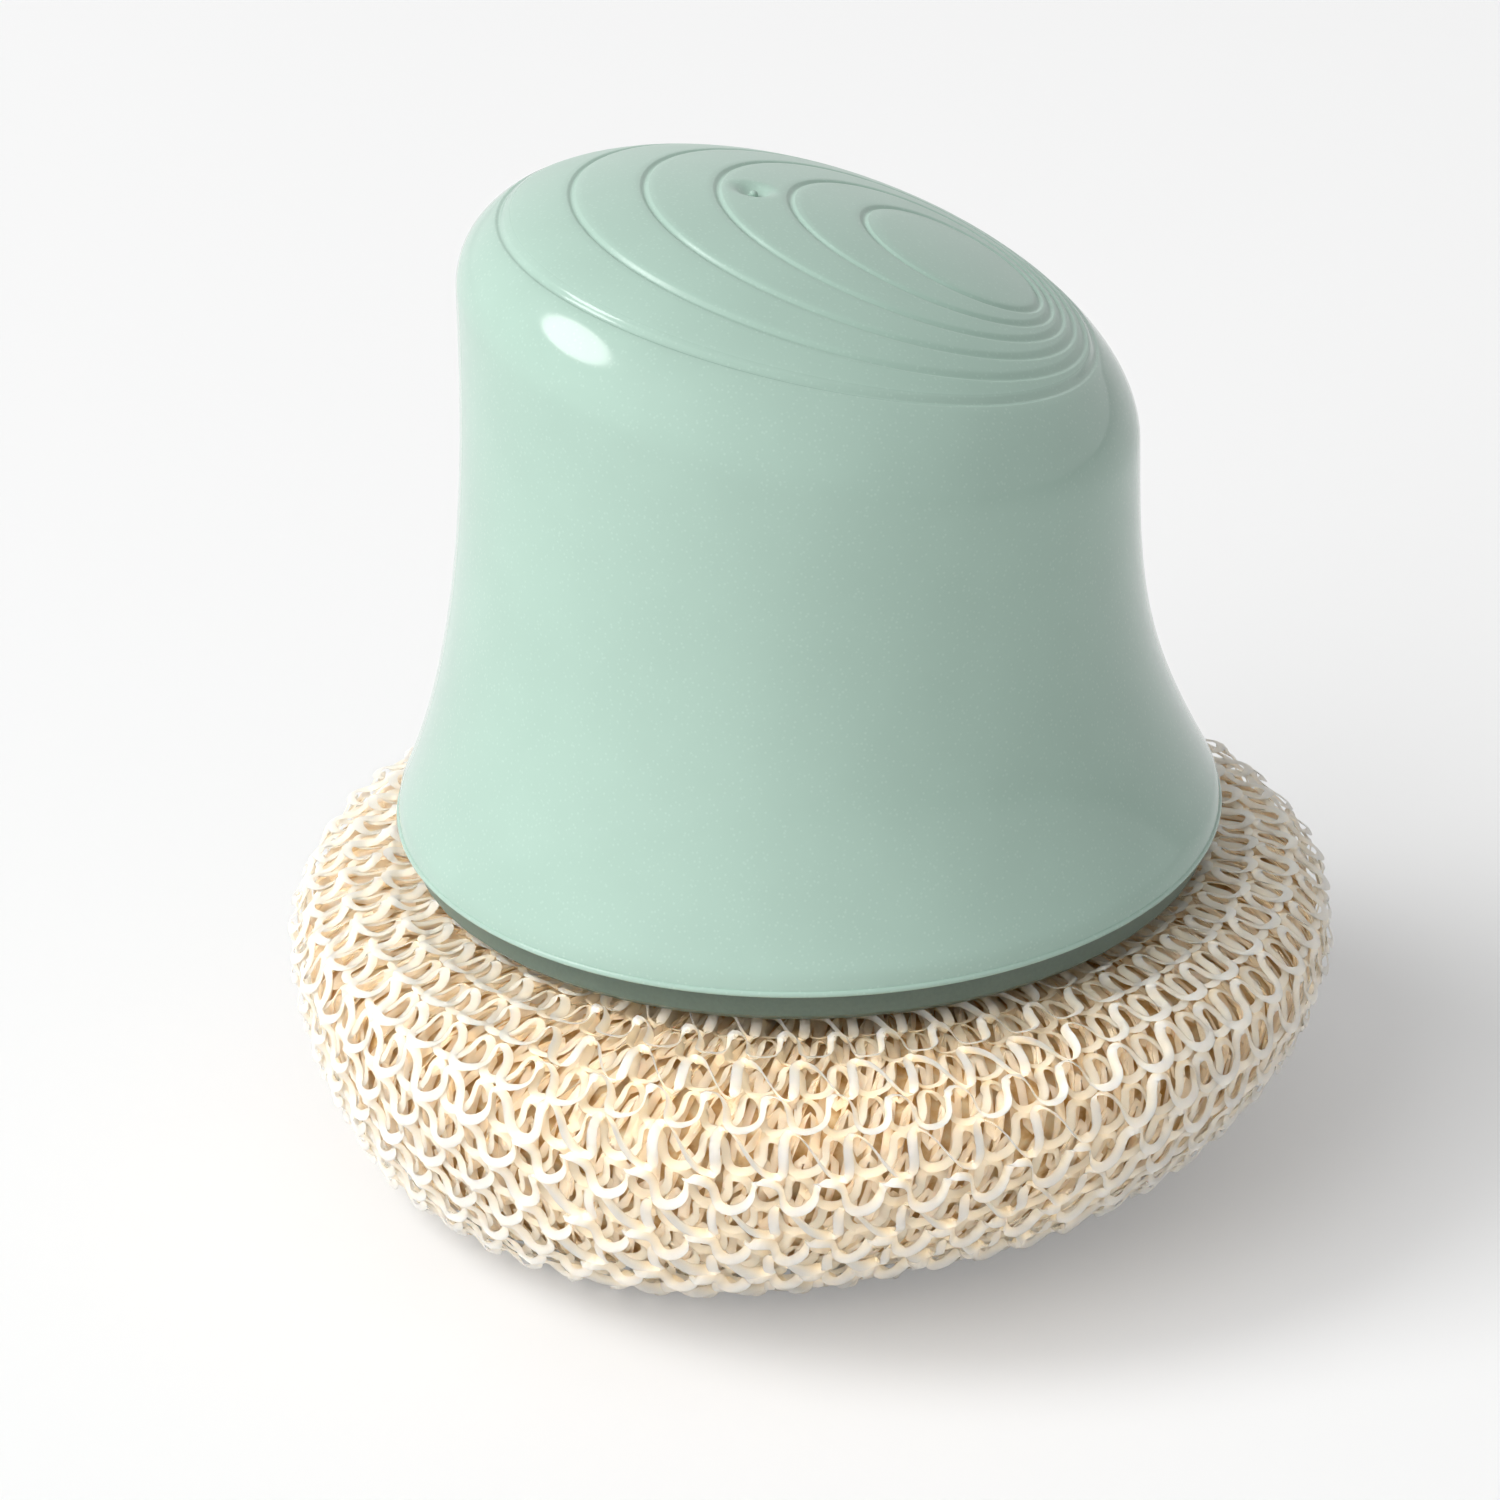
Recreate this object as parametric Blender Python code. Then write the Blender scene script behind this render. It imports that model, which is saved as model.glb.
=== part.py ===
"""Pot brush: a hollow bell-shaped palm grip on a base plate, with a knitted
scrubber that a screw-in retainer holds against the plate.

Metres, +Z up. The origin is on the surface that the scrubber rests on, on the
brush's upright axis. The grip's slanted top is high at -X and low at +X.
"""

import math

import bmesh
import bpy
from mathutils import Matrix, Vector

# General clearances and overruns.
SEAT_GAP = 0.0003
CUT_OVERRUN = 0.003
FUSE_DEPTH = 0.0008
SHARP_ANGLE = math.radians(35)

# Scrubber: a knitted stocking rolled over an inner roll, flattened where it rests.
SCRUBBER_RADIUS = 0.0479
SCRUBBER_HEIGHT = 0.0307
WIDEST_HEIGHT = 0.0220
TOP_FLAT_RADIUS = 0.0292
TOP_POWER = 2.53
CONTACT_RADIUS = 0.0261
CONTACT_SHIFT = 0.0120
LOWER_POWER = 1.67
SLEEVE_THICKNESS = 0.0035
SCRUBBER_BORE = 0.0165
CORE_BORE_STEP = 0.0005
RECESS_MOUTH_RADIUS = 0.0210
RECESS_MOUTH_LAND = 0.0005
RECESS_HEIGHT = 0.0093
RECESS_CORNER_SHARES = ((0.0, 0.0), (0.6, 0.5), (1.0, 1.6))
GATHER_CORD_RADIUS = 0.00095
GATHER_CORD_SIDES = 6
ROLL_SIDES = 40
CORD_SIDES = 24
SHOULDER_STEPS = 5
LOWER_STEPS = 5

# Base plate, and its threaded socket.
PLATE_STEP_IN = 0.0012
BAND_HEIGHT = 0.0030
PLATE_THICKNESS = 0.0025
PLATE_EDGE_ROUND = 0.0006
SPIGOT_RISE = 0.0040
SPIGOT_WALL = 0.0022
SOCKET_HEIGHT = 0.0120
SOCKET_WALL = 0.0020

# Screw thread of the retainer.
THREAD_PITCH = 0.0040
THREAD_DEPTH = 0.0014
THREAD_ROOT_WIDTH = 0.0022
THREAD_CREST_WIDTH = 0.0010
THREAD_TURNS = 1.75
THREAD_CLEARANCE = 0.00035
THREAD_STEPS_PER_TURN = 28

# Retainer: a flanged cup with a grip bar across it.
STEM_RADIUS = 0.0136
STEM_WALL = 0.0022
STEM_RISE = 0.0105
STEM_CAP = 0.0024
STEM_CHAMFER = 0.0008
FLANGE_RADIUS = 0.0185
FLANGE_THICKNESS = 0.0025
FLANGE_EDGE = 0.0004
GRIP_BAR_THICKNESS = 0.0030
GRIP_BAR_HEIGHT = 0.0120
GRIP_BAR_INSET = 0.0015
STEM_SIDES = 40

# Grip shell.
RIM_RADIUS = 0.0372
LIP_HEIGHT = 0.0018
LIP_DRAFT = 0.0002
RIM_ROUND = 0.0005
SHOULDER_HEIGHT = 0.04335
SHOULDER_RADIUS = 0.02979
CROWN_RISE = 0.01502
CROWN_FLAT_POWER = 1.893
CROWN_ROUND_POWER = 2.06
FLARE_POWER = 2.8
TOP_SLANT = math.radians(14.585)
SHELL_WALL = 0.0022
SHELL_SIDES = 56
FLARE_STEPS = 9
FLARE_STEP_POWER = 1.25
CROWN_STEPS = 8
INNER_FLARE_STEPS = 5
INNER_CROWN_STEPS = 5

# Three screws hold the plate to bosses inside the shell.
SCREW_COUNT = 3
SCREW_CIRCLE_INSET = 0.0097
BOSS_RADIUS = 0.0034
BOSS_HEIGHT = 0.0220
BOSS_WEB_THICKNESS = 0.0016
COLUMN_RADIUS = 0.0046
SCREW_RADIUS = 0.0015
SCREW_LENGTH = 0.0150
SCREW_POINT_LENGTH = 0.0020
SCREW_HEAD_RADIUS = 0.0030
SCREW_HEAD_HEIGHT = 0.0018
SCREW_HEAD_ROUND = 0.0005
SCREW_SLOT_WIDTH = 0.0008
SCREW_SLOT_DEPTH = 0.0010
SCREW_SLOT_MARGIN = 0.0008
SCREW_FIT = 0.0003
SCREW_SIDES = 20

# Heights above the resting surface that follow from the sizes above.
PLATE_BOTTOM = SCRUBBER_HEIGHT + SEAT_GAP
RIM_BOTTOM = PLATE_BOTTOM + BAND_HEIGHT
PLATE_TOP = PLATE_BOTTOM + PLATE_THICKNESS
SPIGOT_TOP = RIM_BOTTOM + SPIGOT_RISE
SOCKET_TOP = PLATE_BOTTOM + SOCKET_HEIGHT
FLANGE_TOP = RECESS_HEIGHT - SEAT_GAP
FLANGE_BOTTOM = FLANGE_TOP - FLANGE_THICKNESS
STEM_TOP = PLATE_BOTTOM + STEM_RISE
THREAD_BOTTOM = PLATE_BOTTOM + THREAD_ROOT_WIDTH
CUP_RADIUS = STEM_RADIUS - STEM_WALL
SOCKET_BORE = STEM_RADIUS + THREAD_CLEARANCE
SOCKET_RADIUS = SOCKET_BORE + THREAD_DEPTH + SOCKET_WALL
RIM_INNER_RADIUS = RIM_RADIUS - LIP_DRAFT - SHELL_WALL
PLATE_RADIUS = RIM_RADIUS - PLATE_STEP_IN
SCREW_CIRCLE_RADIUS = RIM_RADIUS - SCREW_CIRCLE_INSET
SCREW_SEAT = PLATE_BOTTOM + SCREW_HEAD_HEIGHT + SEAT_GAP


def linear_colour(hex_colour):
    """The linear RGBA of an sRGB hex colour."""
    channels = [int(hex_colour[i : i + 2], 16) / 255 for i in (1, 3, 5)]
    linear = [c / 12.92 if c <= 0.04045 else ((c + 0.055) / 1.055) ** 2.4 for c in channels]
    return (*linear, 1.0)


def principled(name, hex_colour, roughness, metallic=0.0):
    """A Principled BSDF material of one colour."""
    material = bpy.data.materials.new(name)
    material.use_nodes = True
    shader = material.node_tree.nodes["Principled BSDF"]
    shader.inputs["Base Color"].default_value = linear_colour(hex_colour)
    shader.inputs["Roughness"].default_value = roughness
    shader.inputs["Metallic"].default_value = metallic
    material.diffuse_color = linear_colour(hex_colour)
    return material


def grip_plastic():
    return principled("mint_grip_plastic", "#a9cdbd", 0.18)


def plate_plastic():
    return principled("grey_green_plastic", "#5f766b", 0.35)


def screw_steel():
    return principled("zinc_plated_steel", "#b9bbb8", 0.3, 1.0)


def ribbon_knit():
    return principled("ivory_ribbon_knit", "#efe6d4", 0.5)


def inner_knit():
    return principled("inner_ribbon_knit", "#e3d2b2", 0.55)


def cord_fibre():
    return principled("gather_cord_fibre", "#e8dfcf", 0.7)


def add_object(name, work, material, parent):
    """Makes an object of a bmesh, shaded smooth but at its edges."""
    mesh = bpy.data.meshes.new(name)
    work.to_mesh(mesh)
    work.free()
    mesh.shade_smooth()
    mesh.set_sharp_from_angle(angle=SHARP_ANGLE)
    if material:
        mesh.materials.append(material)
    made = bpy.data.objects.new(name, mesh)
    bpy.context.scene.collection.objects.link(made)
    made.parent = parent
    return made


def add_pivot(name, parent, location=(0, 0, 0)):
    """An empty that carries the pieces that move together."""
    pivot = bpy.data.objects.new(name, None)
    pivot.empty_display_size = STEM_RADIUS
    pivot.location = location
    pivot.parent = parent
    bpy.context.scene.collection.objects.link(pivot)
    return pivot


def turned(outline, sides):
    """A ring or a solid turned round the Z axis.

    outline(angle) lists (radius, height). Points of no radius are poles on the
    axis; without poles, the last point joins the first.
    """
    work = bmesh.new()
    outlines = [outline(math.tau * i / sides) for i in range(sides)]
    count = len(outlines[0])
    poles = {
        k: work.verts.new((0, 0, height))
        for k, (radius, height) in enumerate(outlines[0])
        if radius == 0
    }
    columns = []
    for i, points in enumerate(outlines):
        angle = math.tau * i / sides
        columns.append(
            [
                poles.get(k)
                or work.verts.new((radius * math.cos(angle), radius * math.sin(angle), height))
                for k, (radius, height) in enumerate(points)
            ]
        )
    spans = range(count - 1) if poles else range(count)
    for near, far in zip(columns, columns[1:] + columns[:1]):
        for k in spans:
            after = (k + 1) % count
            corners = dict.fromkeys((near[k], far[k], far[after], near[after]))
            work.faces.new(list(corners))
    bmesh.ops.recalc_face_normals(work, faces=work.faces)
    return work


def cylinder(radius, bottom, top, sides, centre=(0, 0)):
    """An upright cylinder between two heights."""
    work = bmesh.new()
    bmesh.ops.create_cone(
        work,
        cap_ends=True,
        segments=sides,
        radius1=radius,
        radius2=radius,
        depth=top - bottom,
        matrix=Matrix.Translation((*centre, (bottom + top) / 2)),
    )
    return work


def block(low, high):
    """A box between two corners."""
    work = bmesh.new()
    low, high = Vector(low), Vector(high)
    bmesh.ops.create_cube(
        work,
        size=1,
        matrix=Matrix.Translation((low + high) / 2) @ Matrix.Diagonal((*(high - low), 1)),
    )
    return work


def turn_about_axis(work, angle):
    bmesh.ops.rotate(work, verts=work.verts, cent=(0, 0, 0), matrix=Matrix.Rotation(angle, 3, "Z"))
    return work


def helical_ridge(inner_radius, outer_radius, inner_width, outer_width, bottom, turns):
    """A right-hand ridge of trapezoid section that starts at angle 0 at the height bottom."""
    work = bmesh.new()
    steps = round(turns * THREAD_STEPS_PER_TURN)
    section = (
        (inner_radius, -inner_width / 2),
        (outer_radius, -outer_width / 2),
        (outer_radius, outer_width / 2),
        (inner_radius, inner_width / 2),
    )
    rings = []
    for i in range(steps + 1):
        turn = turns * i / steps
        angle = math.tau * turn
        centre = bottom + THREAD_PITCH * turn
        rings.append(
            [
                work.verts.new((r * math.cos(angle), r * math.sin(angle), centre + offset))
                for r, offset in section
            ]
        )
    for near, far in zip(rings, rings[1:]):
        for k in range(len(section)):
            after = (k + 1) % len(section)
            work.faces.new((near[k], far[k], far[after], near[after]))
    work.faces.new(rings[0])
    work.faces.new(rings[-1][::-1])
    bmesh.ops.recalc_face_normals(work, faces=work.faces)
    return work


def combine(target, work, operation, name):
    """Adds a Boolean with a hidden helper object made of the bmesh."""
    helper = add_object(name, work, None, target.parent)
    helper.hide_render = True
    helper.display_type = "WIRE"
    modifier = target.modifiers.new(name, "BOOLEAN")
    modifier.operation = operation
    modifier.object = helper
    modifier.solver = "EXACT"
    return helper


def superellipse(steps, across, rise, across_power, rise_power):
    """Points (x, y) from (0, rise) round to (across, 0)."""
    points = []
    for i in range(steps + 1):
        angle = math.pi / 2 * (1 - i / steps)
        x = across * max(math.cos(angle), 0) ** (2 / across_power)
        y = rise * math.sin(angle) ** (2 / rise_power)
        points.append((x if i else 0, y if i < steps else 0))
    return points


def roll_outline(angle, inset, bore):
    """The rolled stocking's section from its upper mouth, round the outside, to its lower one.

    The roll rests on a patch that lies towards -X, so its lower half is drawn in at +X.
    """
    radius = SCRUBBER_RADIUS - inset
    top = SCRUBBER_HEIGHT - inset
    mouth = RECESS_MOUTH_RADIUS + inset
    wall = FLANGE_RADIUS + SEAT_GAP + inset
    contact = CONTACT_RADIUS - CONTACT_SHIFT * math.cos(angle) - inset
    contact = max(contact, mouth + RECESS_MOUTH_LAND)
    upper = superellipse(
        SHOULDER_STEPS, radius - TOP_FLAT_RADIUS, top - WIDEST_HEIGHT, TOP_POWER, TOP_POWER
    )
    lower = superellipse(
        LOWER_STEPS, radius - contact, WIDEST_HEIGHT - inset, LOWER_POWER, LOWER_POWER
    )
    points = [(bore, top)]
    points += [(TOP_FLAT_RADIUS + x, WIDEST_HEIGHT + y) for x, y in upper]
    points += [(contact + x, WIDEST_HEIGHT - y) for x, y in reversed(lower[:-1])]
    corner = mouth - wall
    points += [
        (mouth - corner * share, inset + corner * rise_share)
        for share, rise_share in RECESS_CORNER_SHARES
    ]
    ceiling = RECESS_HEIGHT + inset
    points += [(wall, ceiling), (bore, ceiling)]
    return points


def sleeve_outline(angle):
    outside = roll_outline(angle, 0, SCRUBBER_BORE)
    inside = roll_outline(angle, SLEEVE_THICKNESS, SCRUBBER_BORE)
    return outside + inside[::-1]


def core_outline(angle):
    return roll_outline(angle, SLEEVE_THICKNESS + SEAT_GAP, SCRUBBER_BORE + CORE_BORE_STEP)


def make_scrubber(parent):
    knit = ribbon_knit()
    add_object("scrubber_sleeve", turned(sleeve_outline, ROLL_SIDES), knit, parent)
    add_object("scrubber_core", turned(core_outline, ROLL_SIDES), inner_knit(), parent)


def cord_ring(height):
    """A cord drawn round the bore, just inside the stocking's mouth."""
    ring_radius = SCRUBBER_BORE - SEAT_GAP - GATHER_CORD_RADIUS

    def outline(_angle):
        return [
            (
                ring_radius + GATHER_CORD_RADIUS * math.cos(math.tau * k / GATHER_CORD_SIDES),
                height + GATHER_CORD_RADIUS * math.sin(math.tau * k / GATHER_CORD_SIDES),
            )
            for k in range(GATHER_CORD_SIDES)
        ]

    return turned(outline, CORD_SIDES)


def make_gather_cords(parent):
    fibre = cord_fibre()
    hem = SLEEVE_THICKNESS / 2
    add_object("gather_cord_upper", cord_ring(SCRUBBER_HEIGHT - hem), fibre, parent)
    add_object("gather_cord_lower", cord_ring(RECESS_HEIGHT + hem), fibre, parent)


def retainer_outline(_angle):
    cup_top = STEM_TOP - STEM_CAP
    return [
        (0, STEM_TOP),
        (STEM_RADIUS - STEM_CHAMFER, STEM_TOP),
        (STEM_RADIUS, STEM_TOP - STEM_CHAMFER),
        (STEM_RADIUS, FLANGE_TOP),
        (FLANGE_RADIUS - FLANGE_EDGE, FLANGE_TOP),
        (FLANGE_RADIUS, FLANGE_TOP - FLANGE_EDGE),
        (FLANGE_RADIUS, FLANGE_BOTTOM + FLANGE_EDGE),
        (FLANGE_RADIUS - FLANGE_EDGE, FLANGE_BOTTOM),
        (CUP_RADIUS + FLANGE_EDGE, FLANGE_BOTTOM),
        (CUP_RADIUS, FLANGE_BOTTOM + FLANGE_EDGE),
        (CUP_RADIUS, cup_top - STEM_CHAMFER),
        (CUP_RADIUS - STEM_CHAMFER, cup_top),
        (0, cup_top),
    ]


def make_retainer(parent):
    """The flanged cup, its thread and the bar that fingers turn it by."""
    retainer = add_object(
        "retainer", turned(retainer_outline, STEM_SIDES), plate_plastic(), parent
    )
    half_bar = GRIP_BAR_THICKNESS / 2
    half_span = CUP_RADIUS + FUSE_DEPTH
    bar_bottom = FLANGE_BOTTOM + GRIP_BAR_INSET
    bar = block(
        (-half_bar, -half_span, bar_bottom), (half_bar, half_span, bar_bottom + GRIP_BAR_HEIGHT)
    )
    combine(retainer, bar, "UNION", "grip_bar_shape")
    ridge = helical_ridge(
        STEM_RADIUS - FUSE_DEPTH,
        STEM_RADIUS + THREAD_DEPTH,
        THREAD_ROOT_WIDTH,
        THREAD_CREST_WIDTH,
        THREAD_BOTTOM,
        THREAD_TURNS,
    )
    combine(retainer, ridge, "UNION", "thread_ridge_shape")


def plate_outline(_angle):
    spigot_radius = flare_radius(SPIGOT_RISE) - SHELL_WALL - SEAT_GAP
    seat = RIM_BOTTOM - SEAT_GAP
    return [
        (SOCKET_BORE, PLATE_BOTTOM),
        (PLATE_RADIUS - PLATE_EDGE_ROUND, PLATE_BOTTOM),
        (PLATE_RADIUS, PLATE_BOTTOM + PLATE_EDGE_ROUND),
        (PLATE_RADIUS, seat),
        (spigot_radius, seat),
        (spigot_radius, SPIGOT_TOP),
        (spigot_radius - SPIGOT_WALL, SPIGOT_TOP),
        (spigot_radius - SPIGOT_WALL, PLATE_TOP),
        (SOCKET_RADIUS, PLATE_TOP),
        (SOCKET_RADIUS, SOCKET_TOP),
        (SOCKET_BORE, SOCKET_TOP),
    ]


def screw_places():
    """The angles of the screws and their centres in plan."""
    for i in range(SCREW_COUNT):
        angle = math.tau * i / SCREW_COUNT
        yield angle, (SCREW_CIRCLE_RADIUS * math.cos(angle), SCREW_CIRCLE_RADIUS * math.sin(angle))


def make_base_plate(parent):
    """The plate, its spigot, its threaded socket and its three screw columns."""
    plate = add_object("base_plate", turned(plate_outline, SHELL_SIDES), plate_plastic(), parent)
    for i, (_angle, centre) in enumerate(screw_places(), 1):
        column = cylinder(
            COLUMN_RADIUS, PLATE_TOP - FUSE_DEPTH, SPIGOT_TOP, SCREW_SIDES, centre
        )
        combine(plate, column, "UNION", f"column_{i}_shape")
        hole = cylinder(
            SCREW_RADIUS + SCREW_FIT,
            PLATE_BOTTOM,
            SPIGOT_TOP + CUT_OVERRUN,
            SCREW_SIDES,
            centre,
        )
        combine(plate, hole, "DIFFERENCE", f"column_{i}_hole")
        seat = cylinder(
            SCREW_HEAD_RADIUS + SCREW_FIT,
            PLATE_BOTTOM - CUT_OVERRUN,
            SCREW_SEAT + SEAT_GAP,
            SCREW_SIDES,
            centre,
        )
        combine(plate, seat, "DIFFERENCE", f"column_{i}_seat")
    lead_turns = math.ceil((THREAD_BOTTOM - PLATE_BOTTOM + CUT_OVERRUN) / THREAD_PITCH)
    lead = lead_turns * THREAD_PITCH
    groove_turns = lead_turns + (SOCKET_TOP - THREAD_BOTTOM + CUT_OVERRUN) / THREAD_PITCH
    groove = helical_ridge(
        SOCKET_BORE - FUSE_DEPTH,
        SOCKET_BORE + THREAD_DEPTH,
        THREAD_ROOT_WIDTH + THREAD_CLEARANCE * 2,
        THREAD_CREST_WIDTH + THREAD_CLEARANCE * 2,
        THREAD_BOTTOM - lead,
        groove_turns,
    )
    combine(plate, groove, "DIFFERENCE", "thread_groove_shape")


def flare_radius(height):
    """The bell's outer radius at a height above its rim, below the shoulder."""
    base = RIM_RADIUS - LIP_DRAFT
    if height <= LIP_HEIGHT:
        return RIM_RADIUS - LIP_DRAFT * height / LIP_HEIGHT
    share = (height - LIP_HEIGHT) / (SHOULDER_HEIGHT - LIP_HEIGHT)
    return SHOULDER_RADIUS + (base - SHOULDER_RADIUS) * (1 - share) ** FLARE_POWER


def bell_outline(inset, bottom, crown_steps, flare_steps):
    """The bell's section from its crown down to a height above the rim, inset by a wall."""
    crown = superellipse(
        crown_steps,
        SHOULDER_RADIUS - inset,
        CROWN_RISE - inset,
        CROWN_FLAT_POWER,
        CROWN_ROUND_POWER,
    )
    points = [(x, SHOULDER_HEIGHT + y) for x, y in crown]
    for i in range(1, flare_steps + 1):
        share = 1 - i / flare_steps
        height = bottom + (SHOULDER_HEIGHT - bottom) * share**FLARE_STEP_POWER
        points.append((flare_radius(height) - inset, height))
    return points


def slant_top(work):
    """Leans the bell's top over while its rim stays level, then stands it on the plate."""
    for vertex in work.verts:
        share = min(max(vertex.co.z / SHOULDER_HEIGHT, 0), 1)
        ease = share * share * (3 - 2 * share)
        vertex.co.z += RIM_BOTTOM - vertex.co.x * math.tan(TOP_SLANT) * ease
    return work


def shell_outline(_angle):
    outside = bell_outline(0, LIP_HEIGHT, CROWN_STEPS, FLARE_STEPS)
    inside = bell_outline(SHELL_WALL, LIP_HEIGHT, INNER_CROWN_STEPS, INNER_FLARE_STEPS)
    rim = [
        (RIM_RADIUS - LIP_DRAFT / 2, RIM_ROUND),
        (RIM_RADIUS - RIM_ROUND, 0),
        (RIM_INNER_RADIUS + RIM_ROUND, 0),
        (RIM_INNER_RADIUS, RIM_ROUND),
    ]
    return outside + rim + inside[::-1]


def boss_limit():
    """The space inside the middle of the shell's wall, which the bosses may fill."""

    def outline(_angle):
        section = bell_outline(SHELL_WALL / 2, 0, INNER_CROWN_STEPS, INNER_FLARE_STEPS)
        return section + [(0, 0)]

    return slant_top(turned(outline, SHELL_SIDES))


def make_handle_shell(parent):
    """The hollow grip and the three bosses moulded inside it."""
    plastic = grip_plastic()
    shell = add_object(
        "handle_shell", slant_top(turned(shell_outline, SHELL_SIDES)), plastic, parent
    )
    boss_bottom = SPIGOT_TOP + SEAT_GAP
    half_web = BOSS_WEB_THICKNESS / 2
    for i, (angle, centre) in enumerate(screw_places(), 1):
        web = turn_about_axis(
            block(
                (SCREW_CIRCLE_RADIUS, -half_web, boss_bottom),
                (RIM_RADIUS, half_web, boss_bottom + BOSS_HEIGHT),
            ),
            angle,
        )
        boss = combine(
            shell,
            cylinder(BOSS_RADIUS, boss_bottom, boss_bottom + BOSS_HEIGHT, SCREW_SIDES, centre),
            "UNION",
            f"boss_{i}_shape",
        )
        combine(boss, web, "UNION", f"boss_{i}_web")
        combine(boss, boss_limit(), "INTERSECT", f"boss_{i}_limit")
        pilot = cylinder(
            SCREW_RADIUS + SCREW_FIT,
            boss_bottom - CUT_OVERRUN,
            SCREW_SEAT + SCREW_LENGTH + SCREW_POINT_LENGTH,
            SCREW_SIDES,
            centre,
        )
        combine(shell, pilot, "DIFFERENCE", f"boss_{i}_pilot")


def screw_outline(_angle):
    head_top = 0
    head_bottom = -SCREW_HEAD_HEIGHT
    return [
        (0, SCREW_LENGTH),
        (SCREW_RADIUS, SCREW_LENGTH - SCREW_POINT_LENGTH),
        (SCREW_RADIUS, head_top),
        (SCREW_HEAD_RADIUS, head_top),
        (SCREW_HEAD_RADIUS, head_bottom + SCREW_HEAD_ROUND),
        (SCREW_HEAD_RADIUS - SCREW_HEAD_ROUND, head_bottom),
        (0, head_bottom),
    ]


def make_plate_screws(parent):
    """Three self-tapping screws, heads down in the plate's seats."""
    steel = screw_steel()
    reach = SCREW_HEAD_RADIUS - SCREW_SLOT_MARGIN
    half_slot = SCREW_SLOT_WIDTH / 2
    slot_bottom = -SCREW_HEAD_HEIGHT - CUT_OVERRUN
    slot_top = -SCREW_HEAD_HEIGHT + SCREW_SLOT_DEPTH
    for i, (angle, centre) in enumerate(screw_places(), 1):
        screw = add_object(f"plate_screw_{i}", turned(screw_outline, SCREW_SIDES), steel, parent)
        screw.location = (*centre, SCREW_SEAT)
        screw.rotation_euler.z = angle
        arms = (
            ("slot_along", (reach, half_slot)),
            ("slot_across", (half_slot, reach)),
        )
        for name, (x, y) in arms:
            arm = combine(
                screw,
                block((-x, -y, slot_bottom), (x, y, slot_top)),
                "DIFFERENCE",
                f"{name}_{i}",
            )
            arm.location = screw.location
            arm.rotation_euler.z = angle


def clear_scene():
    for old in list(bpy.data.objects):
        bpy.data.objects.remove(old, do_unlink=True)


def main():
    clear_scene()
    grip = add_pivot("grip_pivot", None)
    scrubber = add_pivot("scrubber_pivot", grip)
    stem = add_pivot("retainer_pivot", scrubber)
    make_handle_shell(grip)
    make_base_plate(grip)
    make_plate_screws(grip)
    make_scrubber(scrubber)
    make_gather_cords(scrubber)
    make_retainer(stem)


main()
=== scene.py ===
"""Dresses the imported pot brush: its moulded grip, its knitted ribbon scrubber, a plain stage."""

import math

import bmesh
import bpy
import numpy as np
from bpy.props import FloatProperty, FloatVectorProperty, PointerProperty
from mathutils import Matrix, Vector


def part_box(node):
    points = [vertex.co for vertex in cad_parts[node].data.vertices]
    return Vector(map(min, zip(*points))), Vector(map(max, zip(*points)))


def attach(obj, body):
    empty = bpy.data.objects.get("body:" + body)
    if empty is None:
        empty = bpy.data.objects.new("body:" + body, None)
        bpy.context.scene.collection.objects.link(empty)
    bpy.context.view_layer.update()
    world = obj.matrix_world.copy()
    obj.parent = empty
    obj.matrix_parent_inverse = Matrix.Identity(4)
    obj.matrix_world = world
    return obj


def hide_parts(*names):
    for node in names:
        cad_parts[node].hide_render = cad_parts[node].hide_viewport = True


bl_info = {
    "name": "Pot Brush",
    "version": (1, 0, 0),
    "blender": (4, 5, 0),
    "location": "3D View > Sidebar > Pot Brush",
    "description": "Builds a palm pot brush with a knitted ribbon scrubber round its packed frame",
    "category": "Object",
}

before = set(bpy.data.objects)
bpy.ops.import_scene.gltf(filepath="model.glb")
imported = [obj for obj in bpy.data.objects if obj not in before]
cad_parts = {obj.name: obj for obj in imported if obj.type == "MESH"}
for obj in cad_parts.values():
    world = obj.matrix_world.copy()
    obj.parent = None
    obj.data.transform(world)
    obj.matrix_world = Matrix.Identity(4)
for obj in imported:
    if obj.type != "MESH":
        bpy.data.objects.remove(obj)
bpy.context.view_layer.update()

MM = 0.001

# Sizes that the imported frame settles.
PLATE_LOW, PLATE_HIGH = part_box("base_plate")
_, SLEEVE_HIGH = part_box("scrubber_sleeve")
SHELL_LOW, SHELL_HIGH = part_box("handle_shell")
SCRUBBER_RADIUS = SLEEVE_HIGH.x
SCRUBBER_TOP = SLEEVE_HIGH.z
RIM_BOTTOM = SHELL_LOW.z
RIM_RADIUS = SHELL_HIGH.x


def linear(hex_colour):
    """The linear RGB of an sRGB hex colour."""
    channels = [int(hex_colour[i : i + 2], 16) / 255 for i in (1, 3, 5)]
    return tuple(c / 12.92 if c <= 0.04045 else ((c + 0.055) / 1.055) ** 2.4 for c in channels)


def size_property(name, description, millimetres, low=0.0, high=200.0):
    return FloatProperty(
        name=name,
        description=description,
        default=millimetres * MM,
        min=low * MM,
        max=high * MM,
        unit="LENGTH",
        subtype="DISTANCE",
        precision=5,
    )


def colour_property(name, description, hex_colour):
    return FloatVectorProperty(
        name=name,
        description=description,
        default=linear(hex_colour),
        size=3,
        min=0.0,
        max=1.0,
        subtype="COLOR",
    )


def level_property(name, description, level, high=3.0):
    return FloatProperty(name=name, description=description, default=level, min=0.0, max=high)


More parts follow.
